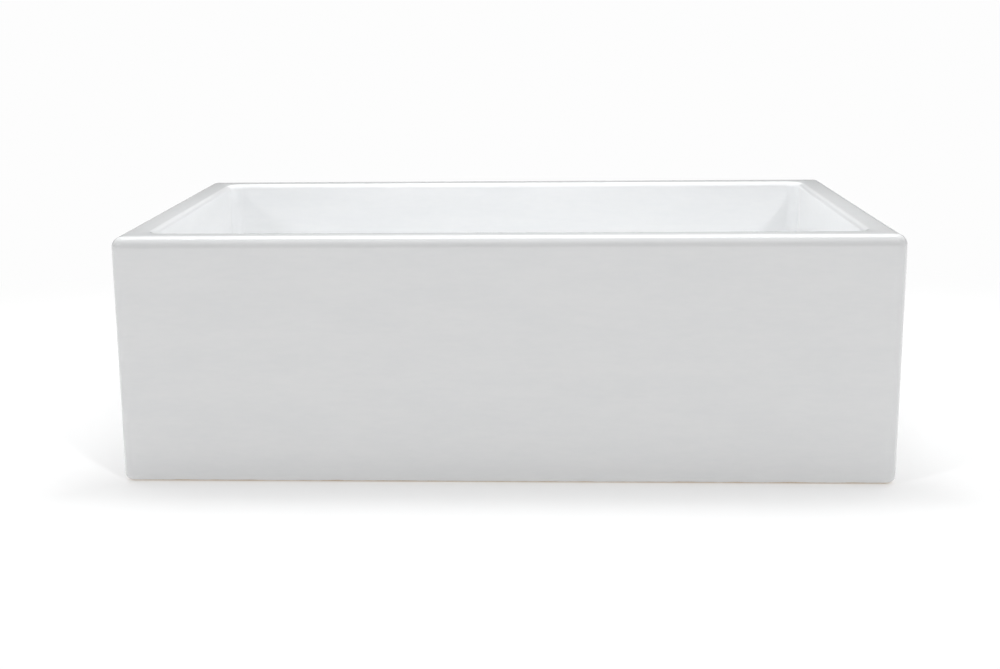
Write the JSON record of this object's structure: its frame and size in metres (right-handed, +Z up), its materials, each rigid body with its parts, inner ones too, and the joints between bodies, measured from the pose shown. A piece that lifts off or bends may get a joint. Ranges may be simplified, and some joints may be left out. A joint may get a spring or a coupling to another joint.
{
  "type": "farmhouse apron front sink",
  "caption": "Deep rectangular fireclay basin with a plain apron front and flat rim, fitted with a lift-out basket strainer waste and a threaded outlet and tailpiece.",
  "frame": {"origin": "the middle of the plane of the basin's base, where the cabinet's support frame carries it; the waste hangs below", "axes": "+Z up, +X to the right along the apron, +Y from the apron to the back, so the apron faces -Y"},
  "size_m": [0.76, 0.46, 0.3996],
  "materials": {
    "glaze": "glossy white glaze over fireclay, bare buff clay on the base",
    "putty": "matt sealing putty",
    "polished_steel": "polished stainless steel",
    "chromed_tube": "chromed brass tube",
    "spring_steel": "bright spring wire",
    "brass": "cast and turned brass",
    "rubber": "matt black rubber",
    "fibre": "pressed fibre sheet",
    "nylon": "natural nylon"
  },
  "bodies": {
    "root": {"basin": "glaze", "flange_seal": "putty", "strainer_body": "polished_steel", "cross_bar": "polished_steel", "rubber_gasket": "rubber", "friction_washer": "fibre", "lock_nut": "brass", "tailpiece_washer": "nylon", "tailpiece": "chromed_tube", "coupling_nut": "brass"},
    "basket": {"basket": "polished_steel", "basket_hub": "polished_steel", "stem_clip": "spring_steel"},
    "stopper": {"stopper_stem": "polished_steel", "stopper_knob": "polished_steel", "seal_plate": "polished_steel", "stopper_seal": "rubber", "seal_nut": "brass"}
  },
  "joints": [
    {"name": "basket_lift", "type": "slide", "parent": "root", "child": "basket", "axis": [0, 0, 1], "range_m": [0, 0.3]},
    {"name": "stopper_lift", "type": "slide", "parent": "basket", "child": "stopper", "axis": [0, 0, 1], "range_m": [0, 0.009]}
  ]
}
